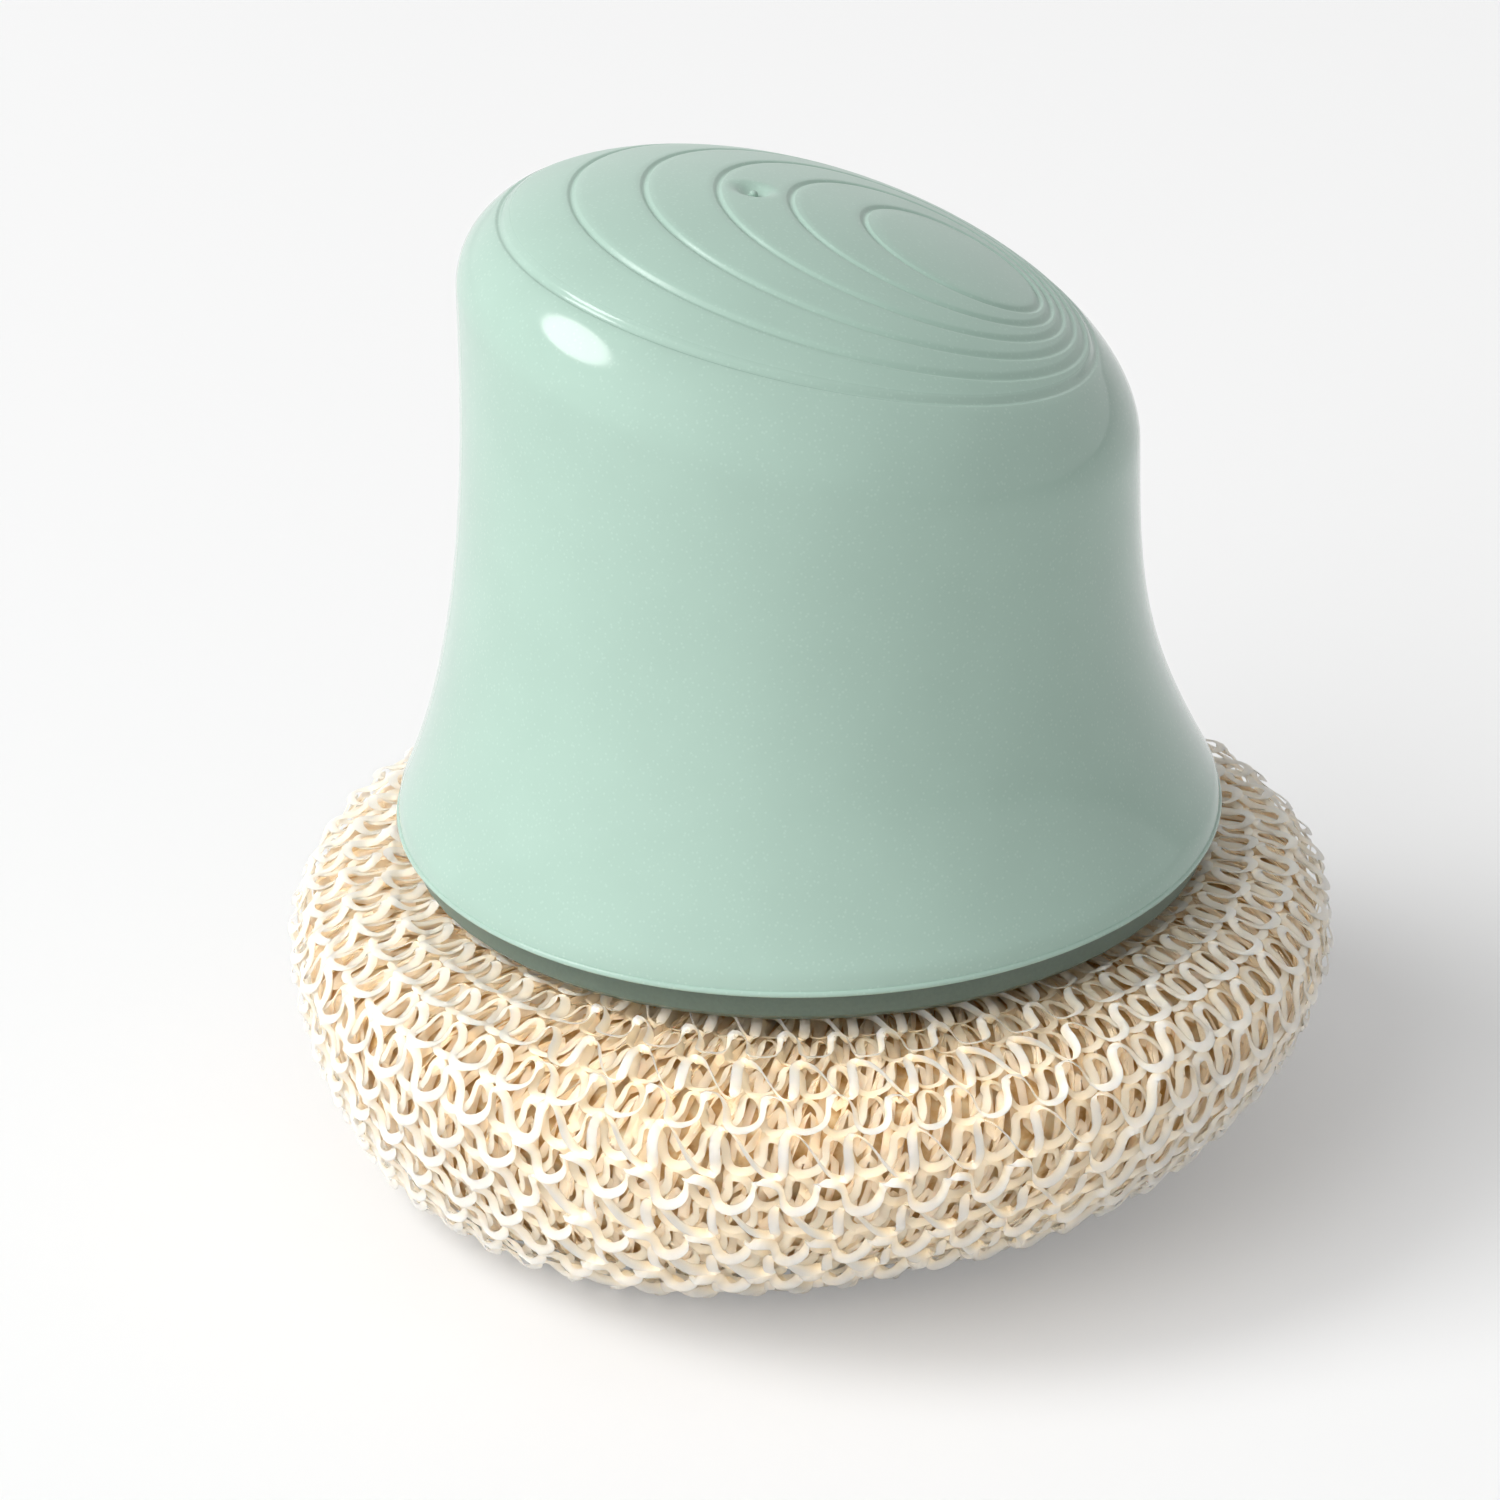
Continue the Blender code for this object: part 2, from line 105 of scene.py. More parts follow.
class GripSettings(bpy.types.PropertyGroup):
    """Sizes and colours of the moulded grip and its base plate."""

    groove_width: size_property("Groove width", "Width of each ring cut into the slanted top", 0.85)
    groove_depth: size_property("Groove depth", "Depth of each ring cut into the slanted top", 0.27)
    ring_step: size_property("Ring step", "How much each ring's half length grows", 3.642)
    ring_shift: size_property("Ring shift", "How far each ring moves to the low side", 2.674)
    inner_ring: size_property("Inner ring", "Half length of the smallest ring", 7.568)
    gate_radius: size_property("Gate mark radius", "Radius of the dimple at the moulding gate", 2.0)
    gate_depth: size_property("Gate mark depth", "Depth of the dimple at the moulding gate", 0.95)
    gate_nub: size_property("Gate nub radius", "Radius of the nub inside the dimple", 0.42)
    shell_colour: colour_property("Shell", "Mint of the grip's moulding", "#a2bdb0")
    fleck_colour: colour_property("Fleck", "Pearl fleck in the mint", "#bcd3c7")
    plate_colour: colour_property("Plate", "Grey-green of the base plate and retainer", "#5f6e62")


class KnitSettings(bpy.types.PropertyGroup):
    """Sizes and colours of the knitted ribbon scrubber."""

    wales: FloatProperty(
        name="Wales",
        description="Loops in one turn; the half left over staggers each row",
        default=52.58,
        min=12.0,
        max=90.0,
    )
    course_pitch: size_property("Course pitch", "Height of one row of loops", 3.75)
    ribbon_width: size_property("Ribbon width", "Width of the flat ribbon", 0.92)
    ribbon_thickness: size_property("Ribbon thickness", "Thickness of the flat ribbon", 0.16)
    outer_colour: colour_property("Outer ribbon", "Ivory of the ribbon that shows", "#dfdbd4")
    # Painted light: the same ribbon as the outer one; its cream is partly the ribbon's own tint,
    # mostly the warmth of light that crossed the turns above.
    painted_warm_inner_colour: colour_property("Inner ribbon", "Cream of the turns underneath", "#f9ead0")
    # Painted light: the tan is partly the ribbon's own tint, partly painted shade and warmth of
    # light deep in the roll.
    core_painted_colour: colour_property("Core", "Tan of the packed middle", "#f7d095")
    cord_colour: colour_property("Gather cord", "Cream of the drawn cords", "#e8dfcf")


class StageSettings(bpy.types.PropertyGroup):
    """The floor, the lamps and the camera."""

    floor_colour: colour_property("Floor", "Near-white sweep", "#efefef")
    floor_glow: level_property(
        "Floor glow", "Share of the sweep's white that shadow leaves alone", 0.25, high=1.0
    )
    box_level: level_property("Soft box level", "Light on the floor from the soft box", 0.33)
    window_level: level_property("Window level", "Light on the floor from the wide panel", 0.46)
    overhead_level: level_property("Overhead level", "Light on the floor from above", 0.18)
    sky_level: level_property("Sky level", "Light from all round", 0.30)
    lens: FloatProperty(
        name="Lens",
        description="Focal length on a 36 mm sensor",
        default=162.587,
        min=20.0,
        max=400.0,
    )


# ---------------------------------------------------------------- materials


def new_material(name):
    material = bpy.data.materials.new(name)
    material.use_nodes = True
    return material, material.node_tree.nodes["Principled BSDF"]


def node(material, kind, links=None, **settings):
    """Adds a node; links maps its inputs to other nodes' outputs or to values."""
    tree = material.node_tree
    made = tree.nodes.new(kind)
    for name, value in settings.items():
        setattr(made, name, value)
    for key, value in (links or {}).items():
        if isinstance(value, bpy.types.NodeSocket):
            tree.links.new(value, made.inputs[key])
        else:
            made.inputs[key].default_value = value
    return made


def link(material, output, target):
    material.node_tree.links.new(output, target)


def ramp(material, factor, *stops):
    """A colour ramp of (position, linear colour) stops."""
    made = node(material, "ShaderNodeValToRGB", {"Fac": factor})
    elements = made.color_ramp.elements
    while len(elements) < len(stops):
        elements.new(0.5)
    for element, (position, colour) in zip(elements, stops):
        element.position = position
        element.color = (*colour, 1.0)
    return made.outputs["Color"]


def remap(material, value, low, high, to_low, to_high):
    return node(
        material,
        "ShaderNodeMapRange",
        {"Value": value, "From Min": low, "From Max": high, "To Min": to_low, "To Max": to_high},
    ).outputs["Result"]


def shade(colour, share):
    return tuple(c * share for c in colour)


def object_place(material):
    return node(material, "ShaderNodeTexCoord").outputs["Object"]


def noise(material, size, detail):
    """Soft noise whose patches are about size across on the object."""
    inputs = {"Vector": object_place(material), "Scale": 1 / size, "Detail": detail}
    return node(material, "ShaderNodeTexNoise", inputs).outputs["Fac"]


def mix(material, factor, first, second, blend="MIX"):
    inputs = {"Factor": factor, "A": first, "B": second}
    made = node(material, "ShaderNodeMix", inputs, data_type="RGBA", blend_type=blend)
    return made.outputs["Result"]


def soft_light(shader):
    """Lets light spread a few millimetres through the ribbon, which comes out of it warmer."""
    shader.inputs["Subsurface Weight"].default_value = 1.0
    shader.inputs["Subsurface Radius"].default_value = (1.0, 0.78, 0.55)
    shader.inputs["Subsurface Scale"].default_value = 2.4 * MM
    shader.subsurface_method = "BURLEY"


def pearl_abs(grip):
    """Injection-moulded ABS with a faint pearl: a gloss skin, satin where the mould was etched."""
    material, shader = new_material("pearl_mint_abs")
    # Flecks are about 0.15 mm in the plastic, drawn 0.5 mm apart so that they show.
    inputs = {"Vector": object_place(material), "Scale": 1 / (0.5 * MM), "Randomness": 1.0}
    flecks = node(material, "ShaderNodeTexVoronoi", inputs).outputs["Distance"]
    fleck_share = remap(material, flecks, 0.10, 0.30, 0.32, 0.0)
    clouds = noise(material, 9 * MM, 2.0)
    low, high = shade(grip.shell_colour, 0.985), shade(grip.shell_colour, 1.015)
    base = ramp(material, clouds, (0.35, low), (0.65, high))
    flecked = mix(material, fleck_share, base, (*grip.fleck_colour, 1.0))
    link(material, flecked, shader.inputs["Base Color"])
    satin = node(material, "ShaderNodeAttribute", attribute_name="satin").outputs["Fac"]
    link(material, remap(material, satin, 0.0, 1.0, 0.11, 0.30), shader.inputs["Roughness"])
    return material


def satin_abs(grip):
    """Injection-moulded ABS from a lightly textured mould, darker than the grip."""
    material, shader = new_material("satin_grey_green_abs")
    grain = noise(material, 0.4 * MM, 3.0)
    low, high = shade(grip.plate_colour, 0.94), shade(grip.plate_colour, 1.06)
    base = ramp(material, grain, (0.3, low), (0.7, high))
    link(material, base, shader.inputs["Base Color"])
    link(material, remap(material, grain, 0.2, 0.8, 0.30, 0.42), shader.inputs["Roughness"])
    return material


def zinc_plate():
    """Bright zinc plate on steel screws: grey, brushed by the driver."""
    material, shader = new_material("zinc_plated_steel")
    rub = noise(material, 0.7 * MM, 4.0)
    shader.inputs["Metallic"].default_value = 1.0
    plating = ramp(material, rub, (0.3, linear("#b4b6b3")), (0.7, linear("#cfd0cc")))
    link(material, plating, shader.inputs["Base Color"])
    link(material, remap(material, rub, 0.2, 0.8, 0.24, 0.42), shader.inputs["Roughness"])
    return material


def polythene_ribbon(name, colour, painted_warm_colour, low_share, roughness):
    """Drawn polythene ribbon: a little glossy along its length. Where it is tucked in, its colour
    is
    painted warmer: painted light, for the warmth light takes on crossing several ribbons to get
    there."""
    material, shader = new_material(name)
    patches = noise(material, 2.2 * MM, 3.0)
    share = ramp(material, patches, (0.3, (low_share,) * 3), (0.62, (1.0, 1.0, 1.0)))
    # Painted light: the share of warm colour by depth, for light that has crossed the ribbons
    # above.
    painted_warmth = node(material, "ShaderNodeAttribute", attribute_name="painted_warmth").outputs["Fac"]
    skin = ramp(material, painted_warmth, (0.1, tuple(colour)), (0.75, tuple(painted_warm_colour)))
    base = mix(material, 1.0, skin, share, blend="MULTIPLY")
    link(material, base, shader.inputs["Base Color"])
    sheen = remap(material, patches, 0.2, 0.8, roughness - 0.06, roughness + 0.08)
    link(material, sheen, shader.inputs["Roughness"])
    soft_light(shader)
    return material


def packed_core(knit):
    """Packed turns in the middle of the roll: matt, in clumps from tan to pale cream. The tan is
    partly the ribbon's own warm tint, partly painted shade and warmth of light that crossed the
    turns above.
    """
    material, shader = new_material("packed_ribbon_core")
    clumps = noise(material, 1.6 * MM, 3.0)
    # The tan and brown stops hold painted shade and warmth of light that crossed the turns above.
    base = ramp(
        material,
        clumps,
        (0.32, linear("#daa65c")),
        (0.5, tuple(knit.core_painted_colour)),
        (0.66, linear("#fae2b6")),
    )
    link(material, base, shader.inputs["Base Color"])
    shader.inputs["Roughness"].default_value = 0.7
    soft_light(shader)
    return material


def spun_cord(knit):
    """Spun polyester cord in two plies."""
    material, shader = new_material("spun_polyester_cord")
    fluff = noise(material, 0.3 * MM, 2.0)
    low, high = shade(knit.cord_colour, 0.86), tuple(knit.cord_colour)
    base = ramp(material, fluff, (0.3, low), (0.7, high))
    link(material, base, shader.inputs["Base Color"])
    shader.inputs["Roughness"].default_value = 0.8
    return material


# ---------------------------------------------------------------- making pieces


def sheet(columns, rows, place, mark=None):
    """A grid of faces whose corner in column i and row j is put at place(i, j).

    mark is an attribute's name and its value(i, j) for the materials to read.
    """
    work = bmesh.new()
    layer = work.verts.layers.float.new(mark[0]) if mark else None
    bmesh.ops.create_grid(work, x_segments=columns, y_segments=rows, size=1.0)
    for corner in work.verts:
        i = round((corner.co.x + 1) / 2 * columns)
        j = round((corner.co.y + 1) / 2 * rows)
        corner.co = place(i, j)
        if mark:
            corner[layer] = mark[1](i, j)
    return work


def close_seams(work, reach=0.002 * MM):
    """Joins corners that meet and turns the faces out."""
    bmesh.ops.remove_doubles(work, verts=work.verts, dist=reach)
    bmesh.ops.recalc_face_normals(work, faces=work.faces)
    return work


def add_piece(name, work, material, body, replaces=(), sharp=None):
    """Makes a piece of a bmesh, which rides on a body of the frame."""
    mesh = bpy.data.meshes.new(name)
    work.to_mesh(mesh)
    work.free()
    mesh.shade_smooth()
    if sharp:
        mesh.set_sharp_from_angle(angle=math.radians(sharp))
    mesh.materials.append(material)
    piece = bpy.data.objects.new(name, mesh)
    bpy.context.scene.collection.objects.link(piece)
    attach(piece, body)
    if replaces:
        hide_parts(*replaces)
    return piece


def merged_copy(node_name):
    """A copy of a frame node's mesh whose triangles are joined, flat faces made whole."""
    work = bmesh.new()
    work.from_mesh(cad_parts[node_name].data)
    bmesh.ops.remove_doubles(work, verts=work.verts, dist=0.001 * MM)
    flat = math.radians(0.5)
    bmesh.ops.dissolve_limit(work, angle_limit=flat, verts=work.verts, edges=work.edges)
    return work


# ---------------------------------------------------------------- grip

LIP_HEIGHT = 1.8 * MM
LIP_DRAFT = 0.2 * MM
RIM_ROUND = 0.5 * MM
# The fine bead along the shell's lower edge, which catches the light over the plate.
RIM_BEAD, RIM_BEAD_HEIGHT = 0.2 * MM, 0.52 * MM
SHOULDER_HEIGHT = 43.35 * MM
SHOULDER_RADIUS = 29.79 * MM
CROWN_RISE = 15.02 * MM
CROWN_FLAT_POWER = 1.893
CROWN_ROUND_POWER = 2.06
FLARE_POWER = 2.8
TOP_SLANT = math.radians(14.585)
SHELL_WALL = 2.2 * MM
RING_COUNT = 6
RING_SQUASH = 0.946
GATE_PLACE = (-3.74 * MM, 0.91 * MM)
# How far down the dimple the nub's middle stands.
NUB_SINK = 0.65
BOSS_RADIUS = 3.4 * MM
BOSS_REACH = 27.5 * MM
BOSS_LOW, BOSS_HIGH = 4.3 * MM, 17.0 * MM
WEB_REACH, WEB_LENGTH, WEB_THICKNESS = 29.2 * MM, 3.4 * MM, 1.6 * MM
# How finely the shell is divided: round it, in and between the grooves, and down its section.
SHELL_COLUMNS = 240
GROOVE_STEPS, LAND_STEPS = 8, 9
SHOULDER_STEPS, FLARE_STEPS, BEAD_STEPS, INNER_STEPS = 16, 30, 8, 10


def flare_radius(height):
    """The bell's outer radius at a height above its rim."""
    base = RIM_RADIUS - LIP_DRAFT
    if height <= LIP_HEIGHT:
        return RIM_RADIUS - LIP_DRAFT * height / LIP_HEIGHT
    share = min((height - LIP_HEIGHT) / (SHOULDER_HEIGHT - LIP_HEIGHT), 1)
    return SHOULDER_RADIUS + (base - SHOULDER_RADIUS) * (1 - share) ** FLARE_POWER


def crown_height(radius):
    """The crown's height above the shoulder at a radius."""
    share = min(radius / SHOULDER_RADIUS, 1)
    return CROWN_RISE * (1 - share**CROWN_FLAT_POWER) ** (1 / CROWN_ROUND_POWER)


def stand_and_slant(x, y, height):
    """Puts a point of the upright bell on the plate, its top leaning down to +X."""
    share = min(max(height / SHOULDER_HEIGHT, 0), 1)
    ease = share * share * (3 - 2 * share)
    return Vector((x, y, RIM_BOTTOM + height - x * math.tan(TOP_SLANT) * ease))


def gate_mark(x, y, settings):
    """How deep the dimple round the moulding gate is at a point in plan."""
    away = math.hypot(x - GATE_PLACE[0], y - GATE_PLACE[1])
    reach = away / settings.gate_radius
    return settings.gate_depth * max(0.0, 1 - reach * reach) ** 2


def add_gate_nub(work, settings):
    """The nub in the middle of the dimple, where the sprue broke off."""
    x, y = GATE_PLACE
    height = SHOULDER_HEIGHT + crown_height(math.hypot(x, y)) - NUB_SINK * settings.gate_depth
    place = Matrix.Translation(stand_and_slant(x, y, height))
    bmesh.ops.create_icosphere(work, subdivisions=3, radius=settings.gate_nub, matrix=place)


def ring_point(ring, angle, settings):
    """A point in plan on a ring; rings are nested ovals that crowd together at the low side."""
    half = settings.inner_ring + (ring - 1) * settings.ring_step
    middle = (RING_COUNT - ring) * settings.ring_shift
    return middle + half * math.cos(angle), RING_SQUASH * half * math.sin(angle)


def ring_gap(angle, settings):
    """The distance between neighbouring rings at an angle."""
    across = math.hypot(RING_SQUASH * math.cos(angle), math.sin(angle))
    step_x = settings.ring_step * math.cos(angle) - settings.ring_shift
    step_y = RING_SQUASH * settings.ring_step * math.sin(angle)
    return (step_x * RING_SQUASH * math.cos(angle) + step_y * math.sin(angle)) / across


def top_rows(angle, settings):
    """The slanted top from its middle out to just past the last ring, as (x, y, height)."""
    pole = 1 - settings.inner_ring / settings.ring_step
    gap = ring_gap(angle, settings)
    half_groove = settings.groove_width / 2 / gap
    rows = []
    last = pole
    for ring in range(1, RING_COUNT + 1):
        start = ring - half_groove
        rows += [(last + (start - last) * k / LAND_STEPS, 0.0) for k in range(LAND_STEPS)]
        for k in range(GROOVE_STEPS):
            offset = 2 * k / GROOVE_STEPS - 1
            rows.append((ring + offset * half_groove, math.cos(offset * math.pi / 2) ** 2))
        last = ring + half_groove
    rows.append((last, 0.0))
    points = []
    for ring, cut in rows:
        x, y = ring_point(ring, angle, settings)
        height = SHOULDER_HEIGHT + crown_height(math.hypot(x, y))
        height -= settings.groove_depth * cut + gate_mark(x, y, settings)
        points.append((x, y, height))
    return points


def side_rows(x, y):
    """From the last ring over the shoulder, down to the rim and up inside to the middle."""
    angle, radius = math.atan2(y, x), math.hypot(x, y)
    lean = math.acos(min((radius / SHOULDER_RADIUS) ** (CROWN_FLAT_POWER / 2), 1))
    outline = []
    for k in range(1, SHOULDER_STEPS + 1):
        turn = lean * (1 - k / SHOULDER_STEPS)
        out = SHOULDER_RADIUS * math.cos(turn) ** (2 / CROWN_FLAT_POWER)
        rise = CROWN_RISE * math.sin(turn) ** (2 / CROWN_ROUND_POWER)
        outline.append((out, SHOULDER_HEIGHT + rise))
    for k in range(1, FLARE_STEPS + 1):
        height = LIP_HEIGHT + (SHOULDER_HEIGHT - LIP_HEIGHT) * (1 - k / FLARE_STEPS) ** 1.2
        outline.append((flare_radius(height), height))
    for k in range(BEAD_STEPS + 1):
        turn = math.pi * k / BEAD_STEPS
        height = RIM_BEAD_HEIGHT * (0.6 + 0.5 * math.cos(turn))
        outline.append((flare_radius(height) + RIM_BEAD * math.sin(turn), height))
    outline.append((RIM_RADIUS - RIM_ROUND, 0.0))
    inner = RIM_RADIUS - LIP_DRAFT - SHELL_WALL
    outline += [(inner + RIM_ROUND, 0.0), (inner, RIM_ROUND)]
    for k in range(INNER_STEPS + 1):
        height = LIP_HEIGHT + (SHOULDER_HEIGHT - LIP_HEIGHT) * k / INNER_STEPS
        outline.append((flare_radius(height) - SHELL_WALL, height))
    for k in range(1, INNER_STEPS + 1):
        turn = math.pi / 2 * k / INNER_STEPS
        out = (SHOULDER_RADIUS - SHELL_WALL) * max(math.cos(turn), 0) ** (2 / CROWN_FLAT_POWER)
        rise = (CROWN_RISE - SHELL_WALL) * math.sin(turn) ** (2 / CROWN_ROUND_POWER)
        outline.append((out, SHOULDER_HEIGHT + rise))
    return [(r * math.cos(angle), r * math.sin(angle), height) for r, height in outline]


def add_screw_bosses(work):
    """The three screw bosses inside the shell, each on a web that runs into the wall."""
    low, high = RIM_BOTTOM + BOSS_LOW, RIM_BOTTOM + BOSS_HIGH
    middle = (low + high) / 2
    size = Matrix.Diagonal((WEB_LENGTH, WEB_THICKNESS, high - low, 1))
    for k in range(3):
        turn = Matrix.Rotation(math.tau * k / 3, 4, "Z")
        bmesh.ops.create_cone(
            work,
            cap_ends=True,
            segments=24,
            radius1=BOSS_RADIUS,
            radius2=BOSS_RADIUS,
            depth=high - low,
            matrix=turn @ Matrix.Translation((BOSS_REACH, 0, middle)),
        )
        web = turn @ Matrix.Translation((WEB_REACH, 0, middle)) @ size
        bmesh.ops.create_cube(work, size=1.0, matrix=web)


class POT_OT_grip_shell(bpy.types.Operator):
    """Build the hollow bell-shaped grip with its ring grooves, gate mark and screw bosses"""

    bl_idname = "pot_brush.grip_shell"
    bl_label = "Grip shell"

    def execute(self, context):
        settings = context.scene.brush_grip
        strips = []
        for i in range(SHELL_COLUMNS):
            top = top_rows(math.tau * i / SHELL_COLUMNS, settings)
            x, y, _height = top[-1]
            strips.append(top + side_rows(x, y))
        inside_last_ring = RING_COUNT * LAND_STEPS + (RING_COUNT - 1) * GROOVE_STEPS
        work = sheet(
            SHELL_COLUMNS,
            len(strips[0]) - 1,
            lambda i, j: stand_and_slant(*strips[i % SHELL_COLUMNS][j]),
            ("satin", lambda i, j: float(j < inside_last_ring)),
        )
        close_seams(work)
        add_screw_bosses(work)
        add_gate_nub(work, settings)
        plastic = pearl_abs(settings)
        add_piece("grip_shell", work, plastic, "grip", ["handle_shell"], sharp=50)
        return {"FINISHED"}


class POT_OT_base_plate(bpy.types.Operator):
    """Build the base plate that closes the grip, with its threaded spigot"""

    bl_idname = "pot_brush.base_plate"
    bl_label = "Base plate"

    def execute(self, context):
        plastic = satin_abs(context.scene.brush_grip)
        work = merged_copy("base_plate")
        name, slot = "base_plate_moulding", "plate_plastic"
        add_piece(name, work, plastic, "grip", ["base_plate"], sharp=40)
        return {"FINISHED"}


class POT_OT_retainer(bpy.types.Operator):
    """Build the threaded retainer that holds the scrubber under the plate"""

    bl_idname = "pot_brush.retainer"
    bl_label = "Retainer"

    def execute(self, context):
        plastic = satin_abs(context.scene.brush_grip)
        work = merged_copy("retainer")
        name, slot = "retainer_moulding", "retainer_plastic"
        add_piece(name, work, plastic, "retainer", ["retainer"], sharp=40)
        return {"FINISHED"}


class POT_OT_screws(bpy.types.Operator):
    """Build the three screws that join the base plate to the grip"""

    bl_idname = "pot_brush.screws"
    bl_label = "Plate screws"

    def execute(self, context):
        steel = zinc_plate()
        for k in (1, 2, 3):
            screw = f"plate_screw_{k}"
            work = merged_copy(screw)
            add_piece(f"screw_{k}", work, steel, "grip", [screw], sharp=30)
        return {"FINISHED"}


# ---------------------------------------------------------------- scrubber

WIDEST_HEIGHT = 22.0 * MM
TOP_FLAT_RADIUS = 29.2 * MM
TOP_POWER = 2.53
CONTACT_RADIUS = 26.1 * MM
CONTACT_SHIFT = 12.0 * MM
LOWER_POWER = 1.67
SCRUBBER_BORE = 16.5 * MM
RECESS_MOUTH_RADIUS = 21.0 * MM
RECESS_HEIGHT = 9.3 * MM
# The recess narrows from its mouth, by a bevel and then up to its ceiling.
RECESS_BEVEL, RECESS_BEVEL_HEIGHT, RECESS_TAPER = 1.4 * MM, 1.2 * MM, 2.3 * MM
CONTACT_WIDTH = 0.5 * MM
ARC_STEPS = 24
# How far the surface is read up from its widest line (below 0) and down from it.
ROLL_START, ROLL_END = -36 * MM, 52 * MM
# Samples that each of its slopes is smoothed over.
SMOOTHING = 15


def roll_outline(angle, depth):
    """The roll's section at an angle, from its upper mouth round to its lower one."""
    top = SCRUBBER_TOP - depth
    mouth = RECESS_MOUTH_RADIUS + depth
    contact = CONTACT_RADIUS - CONTACT_SHIFT * math.cos(angle) - depth
    contact = max(contact, mouth + CONTACT_WIDTH)
    radius = SCRUBBER_RADIUS - depth
    points = [(SCRUBBER_BORE, top)]
    for k in range(ARC_STEPS + 1):
        turn = math.pi / 2 * (1 - k / ARC_STEPS)
        out = (radius - TOP_FLAT_RADIUS) * max(math.cos(turn), 0) ** (2 / TOP_POWER)
        up = (top - WIDEST_HEIGHT) * max(math.sin(turn), 0) ** (2 / TOP_POWER)
        points.append((TOP_FLAT_RADIUS + out, WIDEST_HEIGHT + up))
    for k in range(1, ARC_STEPS + 1):
        turn = math.pi / 2 * k / ARC_STEPS
        out = (radius - contact) * max(math.cos(turn), 0) ** (2 / LOWER_POWER)
        down = (WIDEST_HEIGHT - depth) * max(math.sin(turn), 0) ** (2 / LOWER_POWER)
        points.append((contact + out, WIDEST_HEIGHT - down))
    points += [(mouth, depth), (mouth - RECESS_BEVEL, depth + RECESS_BEVEL_HEIGHT)]
    ceiling = RECESS_HEIGHT + depth
    points += [(mouth - RECESS_TAPER, ceiling), (SCRUBBER_BORE, ceiling)]
    return np.array(points)


class RollSurface:
    """The scrubber's surface, read at (angle, distance from the widest line down its section)."""

    def __init__(self, depth, angles=120, samples=420):
        self.angles = angles
        self.samples = samples
        distances = np.linspace(ROLL_START, ROLL_END, samples)
        self.table = np.zeros((angles + 1, samples, 4))
        for i in range(angles + 1):
            outline = roll_outline(math.tau * i / angles, depth)
            steps = np.hypot(*np.diff(outline, axis=0).T)
            along = np.concatenate([[0], np.cumsum(steps)])
            widest = along[ARC_STEPS + 1]
            radius = np.interp(distances + widest, along, outline[:, 0])
            height = np.interp(distances + widest, along, outline[:, 1])
            slope_r = np.gradient(radius, distances)
            slope_z = np.gradient(height, distances)
            kernel = np.hanning(SMOOTHING)
            kernel /= kernel.sum()
            for slope in (slope_r, slope_z):
                wide = np.pad(slope, SMOOTHING // 2, mode="edge")
                slope[:] = np.convolve(wide, kernel, mode="valid")
            length = np.hypot(slope_r, slope_z) + 1e-9
            self.table[i, :, 0] = radius
            self.table[i, :, 1] = height
            self.table[i, :, 2] = -slope_z / length
            self.table[i, :, 3] = slope_r / length

    def read(self, angle, distance):
        """Points and outward normals there."""
        a = np.mod(angle, math.tau) / math.tau * self.angles
        share = np.clip((distance - ROLL_START) / (ROLL_END - ROLL_START), 0, 1)
        d = share * (self.samples - 1.001)
        ia, idd = a.astype(int), d.astype(int)
        ia = np.minimum(ia, self.angles - 1)
        fa, fd = (a - ia)[:, None], (d - idd)[:, None]
        table = self.table
        values = (
            table[ia, idd] * (1 - fa) * (1 - fd)
            + table[ia + 1, idd] * fa * (1 - fd)
            + table[ia, idd + 1] * (1 - fa) * fd
            + table[ia + 1, idd + 1] * fa * fd
        )
        radius, height, out_r, out_z = values.T
        points = np.stack([radius * np.cos(angle), radius * np.sin(angle), height], -1)
        normals = np.stack([out_r * np.cos(angle), out_r * np.sin(angle), out_z], -1)
        return points, normals / np.linalg.norm(normals, axis=1, keepdims=True)


def unit(vectors):
    return vectors / np.maximum(np.linalg.norm(vectors, axis=1, keepdims=True), 1e-12)


def loop_jitter(random, courses, wales, s, along):
    """A smooth wander with a new value at each loop, read along the yarn."""
    values = random.standard_normal((courses + 2, wales))
    row = np.clip(along, 0, courses + 0.999)
    r0 = row.astype(int)
    c = np.mod(s, wales)
    c0 = c.astype(int)
    fr, fc = row - r0, c - c0
    fr, fc = fr * fr * (3 - 2 * fr), fc * fc * (3 - 2 * fc)
    r1, c1 = np.minimum(r0 + 1, courses + 1), (c0 + 1) % wales
    return (
        values[r0, c0] * (1 - fr) * (1 - fc)
        + values[r1, c0] * fr * (1 - fc)
        + values[r0, c1] * (1 - fr) * fc
        + values[r1, c1] * fr * fc
    )


def smooth_step(value, low, high):
    share = np.clip((value - low) / (high - low), 0, 1)
    return share * share * (3 - 2 * share)


# The ribbon starts this share of a turn round, at the back.
START_TURN = 0.25
# How much of a place is front: 1 facing -Y, 0 facing +Y. The loops change between these values.
HUNG_FRONT, SIDE_FRONT = (0.88, 0.97), (0.86, 0.96)
# How sharply a waved course gives way to a hung one.
KIND_SHARPNESS = 22
# A loop's twists start this share of a loop after its foot, and a hung leg turns in two halves.
TWIST_START = 0.2
HUNG_TWISTS = ((0.30, 0.42), (0.70, 0.86))
LEG_SWAY = 0.06
PROUD_WANDER, WIDTH_WANDER = 0.7, 0.08
# How far a ribbon's middle is cupped out, and how deep it lies before painted light warms its
# colour.
RIBBON_CUP, PAINTED_WARMTH_START = 0.03 * MM, 0.35 * MM
# Every ribbon keeps off the floor and off the plate.
FLOOR_GAP, PLATE_MARGIN, PLATE_GAP = 0.1 * MM, 0.4 * MM, 0.15 * MM


